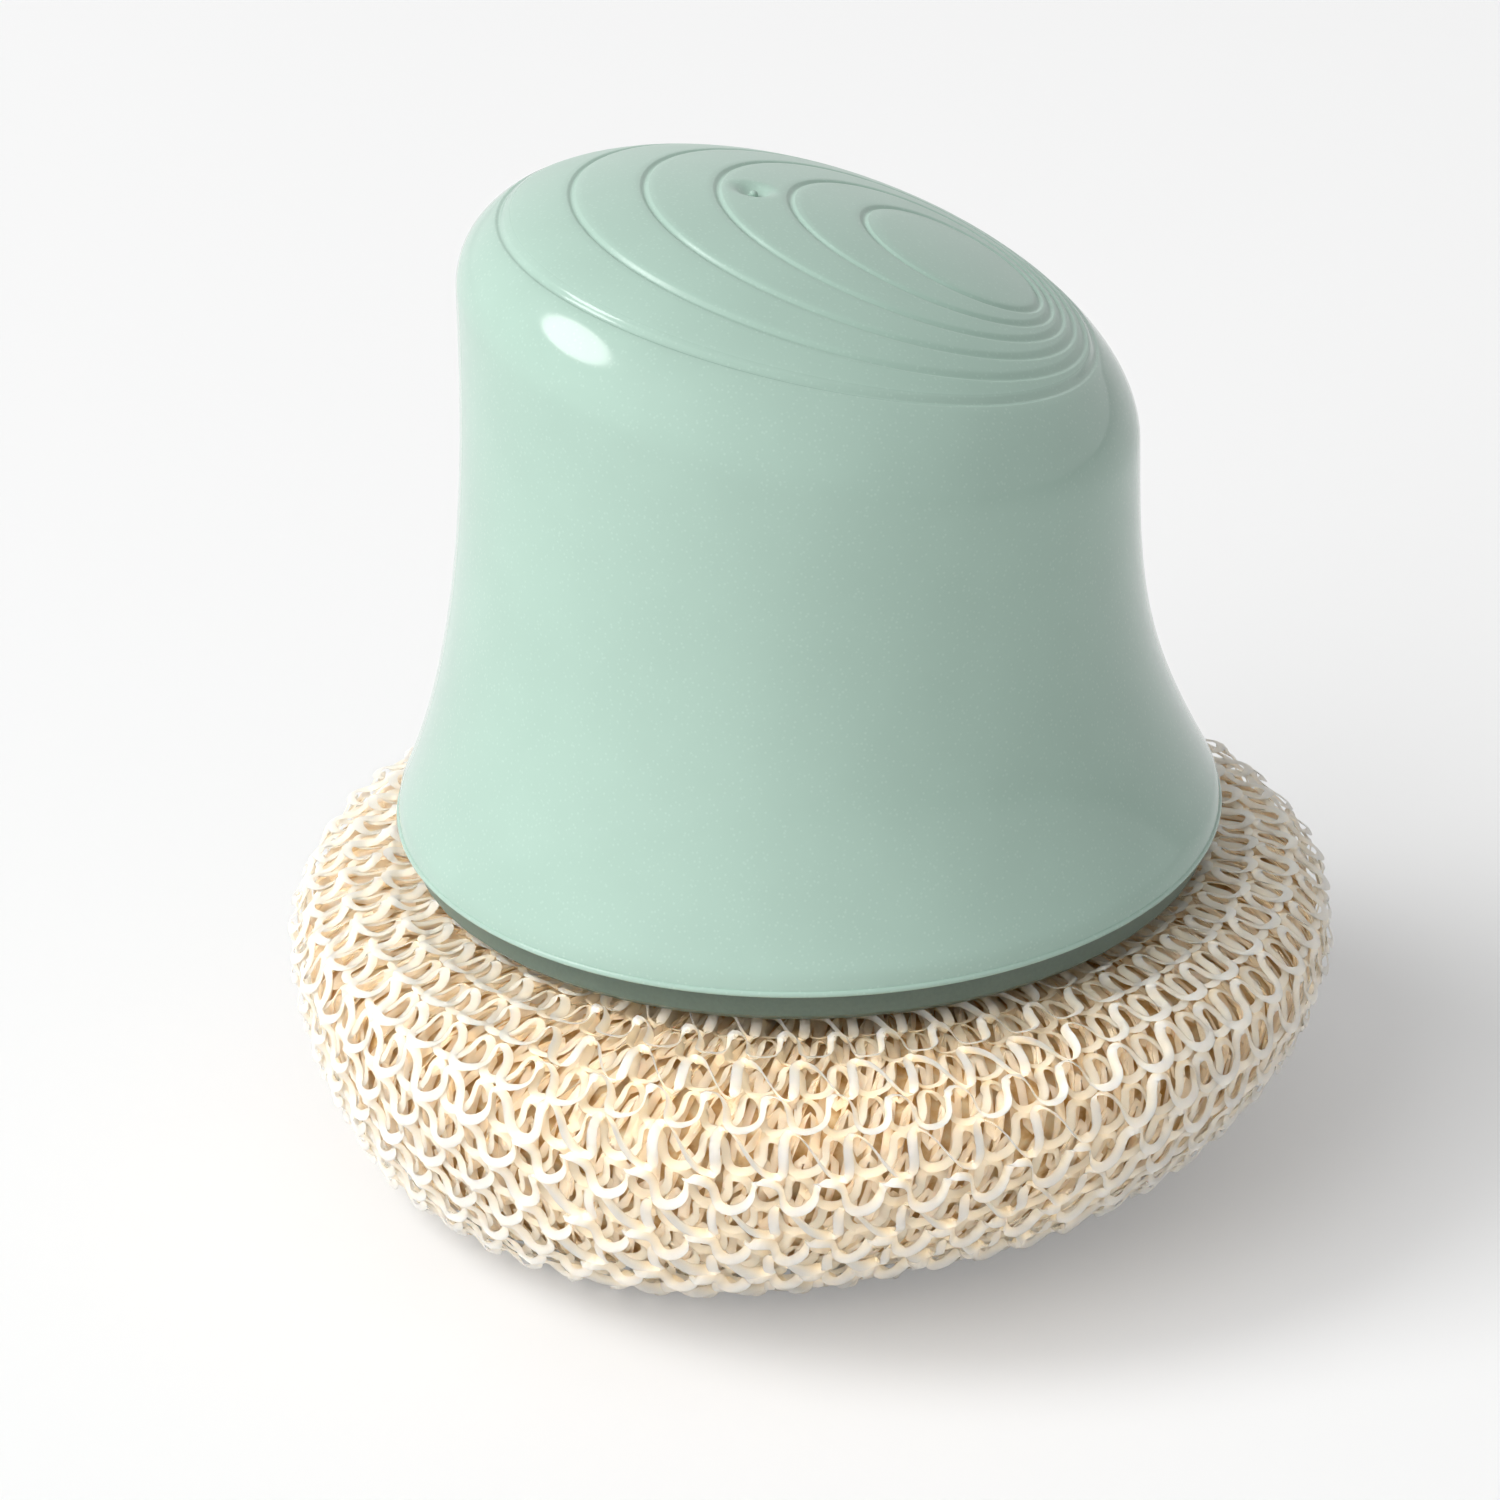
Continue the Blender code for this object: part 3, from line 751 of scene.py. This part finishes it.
def knitted_ribbon(knit, layer, seed):
    """The middle line of one ribbon, knitted round and round the roll, and its cross directions.

    Two kinds of course alternate at the front. Waved ones have narrow heads and wide feet, the
    ribbon on its edge but for a half twist in each left leg. The others hang from the feet
    above: their left legs are flat and upright, and their right legs slope down thin. Toward
    the sides the kinds even out, and the ribbon lies down on the roll.
    """
    surface = RollSurface(layer["depth"])
    random = np.random.default_rng(seed)
    wales, pitch = knit.wales + layer["more_wales"], knit.course_pitch * layer["pitch_share"]
    courses, steps = layer["courses"], layer["steps"]
    # The loops before the first whole course close the mouth in to the gather cord.
    mouth_loops = layer["mouth_loops"]
    count = int((courses * wales + mouth_loops) * steps) + 1
    s = np.arange(count) / steps - mouth_loops
    t = math.tau * s
    along = s / wales
    wander = [loop_jitter(random, courses + 1, int(wales), s, along) for _ in range(5)]
    front = 0.5 + 0.5 * np.cos(math.tau * (START_TURN + along) + math.pi / 2)
    side = 1 - smooth_step(front, *SIDE_FRONT)
    hung = np.zeros(count)
    if layer["two_kinds"]:
        hung = 0.5 - 0.5 * np.tanh(KIND_SHARPNESS * np.sin(math.pi * along))
        hung = hung * smooth_step(front, *HUNG_FRONT)

    def kind(waved, hanging):
        return waved * (1 - hung) + hanging * hung

    narrow = layer["narrow"] + (layer["side_narrow"] - layer["narrow"]) * side
    shift = (
        kind(layer["omega"], layer["hung_omega"]) * np.sin(2 * t)
        - narrow * (1 - hung) * np.sin(t)
        - kind(layer["lean"], layer["hung_lean"]) * np.cos(t)
        + kind(LEG_SWAY, 0.0) * np.sin(t) ** 2
        + layer["wander_x"] * wander[0]
    )
    angle = math.tau * (START_TURN + (s + shift) / wales)
    rise = layer["rise"] + (layer["side_rise"] - layer["rise"]) * side
    rise = pitch * kind(rise, layer["hung_rise"])
    distance = layer["start"] + pitch * along - rise * np.cos(t) + layer["wander"] * wander[1]
    points, normals = surface.read(angle, distance)
    belly = kind(layer["belly"], layer["hung_belly"])
    proud = kind(layer["proud"], layer["hung_proud"]) + belly * np.cos(2 * t)
    proud -= layer["cup"] * side * np.cos(t) + layer["front_sink"] * (1 - side)
    points += normals * (proud + layer["wander"] * PROUD_WANDER * wander[2])[:, None]
    tangent = unit(np.gradient(points, axis=0))
    normals = unit(normals - (normals * tangent).sum(1, keepdims=True) * tangent)
    flat = np.cross(tangent, normals)
    turn = s - TWIST_START
    v = turn - np.floor(turn)
    waved_turn = smooth_step(v, *layer["twist"])
    hung_turn = 0.5 * smooth_step(v, *HUNG_TWISTS[0]) + 0.5 * smooth_step(v, *HUNG_TWISTS[1])
    # Only the loops at the front are twisted; elsewhere the ribbon lies down on the roll.
    loop = np.floor(turn).astype(int) + 1 + mouth_loops
    curled = front[np.clip(loop * steps, 0, count - 1)] > layer["curled_above"]
    first = np.unique(loop, return_index=True)[1]
    before = np.concatenate([[0], np.cumsum(curled[first])])[loop]
    before = before - before[mouth_loops * steps]
    half_turns = before + curled * kind(waved_turn, hung_turn)
    tilt = layer["tilt"] + layer["tilt_spread"] * np.cos(t)
    tilt = kind(tilt, tilt * layer["hung_tilt"])
    tilt += (layer["side_tilt"] - tilt) * side
    tilt += layer["wander_turn"] * wander[3]
    twist = math.pi * half_turns + np.radians(tilt)
    across = np.cos(twist)[:, None] * normals + np.sin(twist)[:, None] * flat
    width = knit.ribbon_width * layer["width"] * (1 + WIDTH_WANDER * wander[4])
    across = across * (width / 2)[:, None]
    deeper = -(across * normals).sum(1)
    return points, across, unit(np.cross(tangent, across)), proud, deeper


def tucked(layer, proud, deeper, reach=1.3 * MM):
    """How far each corner of the section lies under the roll's skin: 0 outside, 1 well inside.
    The share sets the painted light: the warmth of light that has crossed the ribbons above.
    """
    under = layer["depth"] - proud
    rows = np.stack([under - deeper, under, under + deeper, under], axis=1)
    return np.clip((rows - PAINTED_WARMTH_START) / reach, 0, 1)


def ribbon_corners(points, across, out, thickness, cup):
    """The ribbon's section at each step: thin at its edges, full and cupped in its middle."""
    corners = np.stack(
        [
            points - across,
            points + out * (cup + thickness / 2),
            points + across,
            points + out * (cup - thickness / 2),
        ],
        axis=1,
    )
    corners[..., 2] = np.maximum(corners[..., 2], FLOOR_GAP)
    under_plate = np.hypot(corners[..., 0], corners[..., 1]) < PLATE_HIGH.x + PLATE_MARGIN
    ceiling = PLATE_LOW.z - PLATE_GAP
    corners[..., 2] = np.where(under_plate, np.minimum(corners[..., 2], ceiling), corners[..., 2])
    return corners


def add_ribbon(name, knit, layer, seed, material, replaces):
    """Makes a ribbon piece of one knitted layer."""
    points, across, out, proud, deeper = knitted_ribbon(knit, layer, seed)
    section = ribbon_corners(points, across, out, knit.ribbon_thickness, RIBBON_CUP)
    # How much painted warmth each corner gets, for light that reaches it through the ribbons above.
    painted_warmth = tucked(layer, proud, deeper)
    work = sheet(
        len(section) - 1,
        4,
        lambda i, j: section[i, j % 4],
        ("painted_warmth", lambda i, j: painted_warmth[i, j % 4]),
    )
    close_seams(work)
    ends = [edge for edge in work.edges if edge.is_boundary]
    bmesh.ops.holes_fill(work, edges=ends, sides=4)
    piece = add_piece(name, work, material, "scrubber", replaces, sharp=60)
    return piece


# Lengths are in metres, tilts in degrees, and shifts and twists in shares of a loop.
WAVED_LAYER = {
    "depth": 0.95 * MM, "start": -29.9 * MM, "mouth_loops": 53, "courses": 21, "steps": 20,
    "more_wales": 0.0, "pitch_share": 1.0, "two_kinds": True, "width": 1.0,
    "rise": 0.42, "side_rise": 0.43, "hung_rise": 0.56,
    "omega": 0.06, "hung_omega": 0.02, "narrow": 0.03, "side_narrow": 0.06,
    "lean": 0.0, "hung_lean": 0.14, "proud": 0.2 * MM, "hung_proud": 0.1 * MM,
    "belly": 0.3 * MM, "hung_belly": -0.35 * MM, "cup": 0.1 * MM, "front_sink": 0.0,
    "twist": (0.62, 0.80), "curled_above": 0.92,
    "tilt": 36, "tilt_spread": -10, "hung_tilt": 0.2, "side_tilt": 74,
    "wander": 0.16 * MM, "wander_x": 0.035, "wander_turn": 8,
}
# The same net again, half a loop round, so that its loops fall between the outer ones.
SECOND_LAYER = {
    **WAVED_LAYER, "two_kinds": False,
    "depth": 1.25 * MM, "start": -26.15 * MM, "mouth_loops": 105, "courses": 20, "steps": 18,
    "width": 0.9, "rise": 0.46, "narrow": 0.06, "belly": 0.1 * MM, "front_sink": 0.6 * MM,
    "curled_above": 2.0, "tilt": 60, "tilt_spread": 0, "wander_x": 0.06, "wander_turn": 12,
}
# Loops that lean over one another until they no longer read as rows.
CRUMPLED_LAYER = {
    **WAVED_LAYER, "two_kinds": False,
    "depth": 2.1 * MM, "start": -28 * MM, "mouth_loops": 92, "courses": 18, "steps": 12,
    "more_wales": 39.82, "pitch_share": 1.093, "width": 0.85,
    "rise": 0.95, "side_rise": 0.95, "narrow": 0.0, "side_narrow": 0.0, "lean": -0.36,
    "proud": 0.0, "belly": 0.15 * MM, "cup": 0.0, "twist": (0.35, 0.65), "curled_above": 0.0,
    "tilt": 76, "tilt_spread": 0, "side_tilt": 76, "wander_x": 0.16, "wander_turn": 20,
}
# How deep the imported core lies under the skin, where it starts and ends, and how rough it is.
CORE_DEPTH, CORE_START, CORE_END, CORE_ROUGHNESS = 2.6 * MM, -26 * MM, 50 * MM, 0.15 * MM
# A ply's radius as a share of the cord's, and how often the plies twist in one ring.
PLY_SHARE, PLY_TURNS = 0.56, 30


def two_ply_ring(low, high, columns=480, sides=6):
    """Two strands twisted round each other into a ring that fills a box."""
    cord_radius = (high.z - low.z) / 2
    ring_radius = high.x - cord_radius
    ply = cord_radius * PLY_SHARE
    lay_radius = cord_radius - ply
    middle = (low.z + high.z) / 2
    work = bmesh.new()
    for start in (0.0, math.pi):

        def place(i, j):
            angle, roll = math.tau * i / columns, math.tau * j / sides
            twist = PLY_TURNS * angle + start
            radius = ring_radius + lay_radius * math.cos(twist) + ply * math.cos(roll)
            height = middle + lay_radius * math.sin(twist) + ply * math.sin(roll)
            return Vector((radius * math.cos(angle), radius * math.sin(angle), height))

        strand = close_seams(sheet(columns, sides, place))
        mesh = bpy.data.meshes.new("strand")
        strand.to_mesh(mesh)
        strand.free()
        work.from_mesh(mesh)
        bpy.data.meshes.remove(mesh)
    return work


class POT_OT_scrubber_knit(bpy.types.Operator):
    """Knit the ivory ribbon that covers the scrubber"""

    bl_idname = "pot_brush.scrubber_knit"
    bl_label = "Scrubber knit"

    def execute(self, context):
        knit = context.scene.brush_knit
        outer, inner = knit.outer_colour, knit.painted_warm_inner_colour
        ivory = polythene_ribbon("ivory_polythene_ribbon", outer, inner, 0.95, 0.36)
        add_ribbon(
            "scrubber_knit", knit, WAVED_LAYER, 7, ivory, ["scrubber_sleeve"]
        )
        return {"FINISHED"}


class POT_OT_inner_turns(bpy.types.Operator):
    """Knit the turns that lie under the scrubber's cover: a second net and a crumpled one,
    painted cream for the warmth of light that reaches it through the cover
    """

    bl_idname = "pot_brush.inner_turns"
    bl_label = "Inner turns"

    def execute(self, context):
        knit = context.scene.brush_knit
        outer, inner = knit.outer_colour, knit.painted_warm_inner_colour
        ivory = polythene_ribbon("ivory_polythene_under", outer, inner, 0.92, 0.4)
        # The crumpled turns are the same ribbon, painted cream for light that reaches them through
        # the turns above.
        cream = polythene_ribbon("warm_painted_polythene_ribbon", inner, inner, 0.9, 0.45)
        add_ribbon(
            "inner_turns_1", knit, SECOND_LAYER, 21, ivory, ["scrubber_core"]
        )
        add_ribbon("inner_turns_2", knit, CRUMPLED_LAYER, 22, cream, [])
        return {"FINISHED"}


class POT_OT_packed_core(bpy.types.Operator):
    """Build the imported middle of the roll"""

    bl_idname = "pot_brush.packed_core"
    bl_label = "Packed core"

    def execute(self, context):
        surface = RollSurface(CORE_DEPTH)
        columns, rows = 160, 90
        angles = np.repeat(math.tau * np.arange(columns) / columns, rows + 1)
        distances = np.tile(np.linspace(CORE_START, CORE_END, rows + 1), columns)
        points, normals = surface.read(angles, distances)
        random = np.random.default_rng(5)
        points += normals * (random.standard_normal(len(points)) * CORE_ROUGHNESS)[:, None]
        points = points.reshape(columns, rows + 1, 3)
        work = close_seams(sheet(columns, rows, lambda i, j: points[i % columns, j]))
        turns = packed_core(context.scene.brush_knit)
        core = add_piece("packed_core", work, turns, "scrubber")
        return {"FINISHED"}


class POT_OT_gather_cords(bpy.types.Operator):
    """Lay the two-ply cords drawn round the knit's two mouths"""

    bl_idname = "pot_brush.gather_cords"
    bl_label = "Gather cords"

    def execute(self, context):
        cord = spun_cord(context.scene.brush_knit)
        for name in ("gather_cord_upper", "gather_cord_lower"):
            work = two_ply_ring(*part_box(name))
            add_piece(name + "_plies", work, cord, "scrubber", [name])
        return {"FINISHED"}


# ---------------------------------------------------------------- stage

FLOOR_SIZE = 4.0
AIM_HEIGHT = 54 * MM
CAMERA_DISTANCE = 603.714 * MM
CAMERA_ANGLES = (-0.633, 25.609, -1.188)
SENSOR_WIDTH = 36
# The middle of a frame this wide, in its pixels right of the aim and above it.
FRAME_WIDTH = 1500
FRAME_RIGHT, FRAME_UP = -54.748, -150.121

LAMP_DISTANCE = 3.0
LAMP_AIM_HEIGHT = 40 * MM
# Each lamp's azimuth, elevation and half angle in degrees, and whether glossy skins mirror it.
LAMPS = {
    "box_level": ("soft_box", -176, 48, 13.5, True),
    "window_level": ("window", -146, 34, 30, False),
    "overhead_level": ("overhead", -105, 72, 35, False),
}


def camera_turn(settings):
    """The camera's place and turn: a high three-quarter look, the brush a little up and right."""
    azimuth, elevation, roll = (math.radians(a) for a in CAMERA_ANGLES)
    back = Vector(
        (
            math.sin(azimuth) * math.cos(elevation),
            -math.cos(azimuth) * math.cos(elevation),
            math.sin(elevation),
        )
    )
    right = Vector((math.cos(azimuth), math.sin(azimuth), 0))
    up = back.cross(right)
    rolled_right = math.cos(roll) * right + math.sin(roll) * up
    rolled_up = math.cos(roll) * up - math.sin(roll) * right
    place = Vector((0, 0, AIM_HEIGHT)) + back * CAMERA_DISTANCE
    focal = settings.lens / SENSOR_WIDTH * FRAME_WIDTH
    sight = (FRAME_RIGHT * rolled_right + FRAME_UP * rolled_up - focal * back).normalized()
    back = -sight
    right = rolled_up.cross(back).normalized()
    up = back.cross(right)
    return place, Matrix((right, up, back)).transposed()


def add_lamp(name, azimuth, elevation, half_angle, level):
    """A round lamp seen from the brush at these angles, whose light on the floor is level."""
    azimuth, elevation = math.radians(azimuth), math.radians(elevation)
    toward = Vector(
        (
            math.cos(elevation) * math.cos(azimuth),
            math.cos(elevation) * math.sin(azimuth),
            math.sin(elevation),
        )
    )
    light = bpy.data.lights.new(name, "AREA")
    light.shape = "DISK"
    light.size = 2 * LAMP_DISTANCE * math.tan(math.radians(half_angle))
    light.energy = level * math.pi**2 * LAMP_DISTANCE**2 / toward.z
    lamp = bpy.data.objects.new(name, light)
    lamp.location = toward * LAMP_DISTANCE + Vector((0, 0, LAMP_AIM_HEIGHT))
    lamp.rotation_euler = toward.to_track_quat("Z", "Y").to_euler()
    bpy.context.scene.collection.objects.link(lamp)
    return lamp


def seen_directly(owner):
    """1 for rays from the camera, from glossy surfaces and through clear ones, 0 for light."""
    path = node(owner, "ShaderNodeLightPath").outputs
    rays = {0: path["Is Glossy Ray"], 1: path["Is Transmission Ray"]}
    bent = node(owner, "ShaderNodeMath", rays, operation="MAXIMUM").outputs[0]
    rays = {0: path["Is Camera Ray"], 1: bent}
    return node(owner, "ShaderNodeMath", rays, operation="MAXIMUM").outputs[0]


def matt_sweep(settings):
    """Matt white paper sweep: a share of its white is its own, so that the shadow on it stays
    as pale as light bounced about a white studio leaves it."""
    material, shader = new_material("matt_white_sweep")
    shader.inputs["Base Color"].default_value = (*settings.floor_colour, 1.0)
    shader.inputs["Roughness"].default_value = 0.9
    shader.inputs["Specular IOR Level"].default_value = 0.1
    glow = node(material, "ShaderNodeEmission", {"Color": (1, 1, 1, 1), "Strength": 1.0})
    share = remap(material, seen_directly(material), 0.0, 1.0, 0.0, settings.floor_glow)
    parts = {"Fac": share, 1: shader.outputs["BSDF"], 2: glow.outputs["Emission"]}
    mixed = node(material, "ShaderNodeMixShader", parts).outputs[0]
    link(material, mixed, material.node_tree.nodes["Material Output"].inputs["Surface"])
    return material


def make_stage(scene, settings):
    """The white sweep under the brush, the even light all round, the lamps and the camera."""
    work = bmesh.new()
    bmesh.ops.create_grid(work, x_segments=8, y_segments=8, size=FLOOR_SIZE)
    mesh = bpy.data.meshes.new("floor")
    work.to_mesh(mesh)
    work.free()
    mesh.materials.append(matt_sweep(settings))
    floor = bpy.data.objects.new("floor", mesh)
    scene.collection.objects.link(floor)

    world = bpy.data.worlds.new("studio")
    scene.world = world
    world.use_nodes = True
    world.node_tree.nodes.clear()
    level = remap(world, seen_directly(world), 0.0, 1.0, settings.sky_level, 1.0)
    light = node(world, "ShaderNodeBackground", {"Color": (1, 1, 1, 1), "Strength": level})
    output = node(world, "ShaderNodeOutputWorld")
    link(world, light.outputs[0], output.inputs["Surface"])

    for level, (name, azimuth, elevation, half_angle, mirrored) in LAMPS.items():
        lamp = add_lamp(name, azimuth, elevation, half_angle, getattr(settings, level))
        lamp.visible_glossy = mirrored

    place, turn = camera_turn(settings)
    lens = bpy.data.cameras.new("camera")
    lens.lens = settings.lens
    lens.sensor_width = SENSOR_WIDTH
    lens.clip_start = 0.01
    lens.clip_end = 20
    camera = bpy.data.objects.new("camera", lens)
    camera.matrix_world = Matrix.Translation(place) @ turn.to_4x4()
    scene.collection.objects.link(camera)
    scene.camera = camera
    scene.view_settings.view_transform = "Standard"


class POT_OT_stage(bpy.types.Operator):
    """Set up the floor, the lamps and the camera"""

    bl_idname = "pot_brush.stage"
    bl_label = "Stage"

    def execute(self, context):
        make_stage(context.scene, context.scene.brush_stage)
        return {"FINISHED"}


# ---------------------------------------------------------------- panel


class POT_PT_sidebar(bpy.types.Panel):
    """Lists what builds the pot brush, with its sizes and colours"""

    bl_idname = "POT_PT_sidebar"
    bl_label = "Pot Brush"
    bl_space_type = "VIEW_3D"
    bl_region_type = "UI"
    bl_category = "Pot Brush"

    def draw(self, context):
        for operator in OPERATORS:
            self.layout.operator(operator.bl_idname)
        for group in SETTINGS:
            box = self.layout.box()
            for name in SETTINGS[group].__annotations__:
                box.prop(getattr(context.scene, group), name)


OPERATORS = (
    POT_OT_stage,
    POT_OT_grip_shell,
    POT_OT_base_plate,
    POT_OT_retainer,
    POT_OT_screws,
    POT_OT_scrubber_knit,
    POT_OT_inner_turns,
    POT_OT_packed_core,
    POT_OT_gather_cords,
)
SETTINGS = {"brush_grip": GripSettings, "brush_knit": KnitSettings, "brush_stage": StageSettings}


def register():
    for group, settings in SETTINGS.items():
        bpy.utils.register_class(settings)
        setattr(bpy.types.Scene, group, PointerProperty(type=settings))
    for cls in (*OPERATORS, POT_PT_sidebar):
        bpy.utils.register_class(cls)


def unregister():
    for cls in (POT_PT_sidebar, *reversed(OPERATORS)):
        bpy.utils.unregister_class(cls)
    for group, settings in reversed(SETTINGS.items()):
        delattr(bpy.types.Scene, group)
        bpy.utils.unregister_class(settings)


def main():
    register()
    bpy.ops.pot_brush.stage()
    bpy.ops.pot_brush.grip_shell()
    bpy.ops.pot_brush.base_plate()
    bpy.ops.pot_brush.retainer()
    bpy.ops.pot_brush.screws()
    bpy.ops.pot_brush.scrubber_knit()
    bpy.ops.pot_brush.inner_turns()
    bpy.ops.pot_brush.packed_core()
    bpy.ops.pot_brush.gather_cords()


if __name__ == "__main__":
    main()
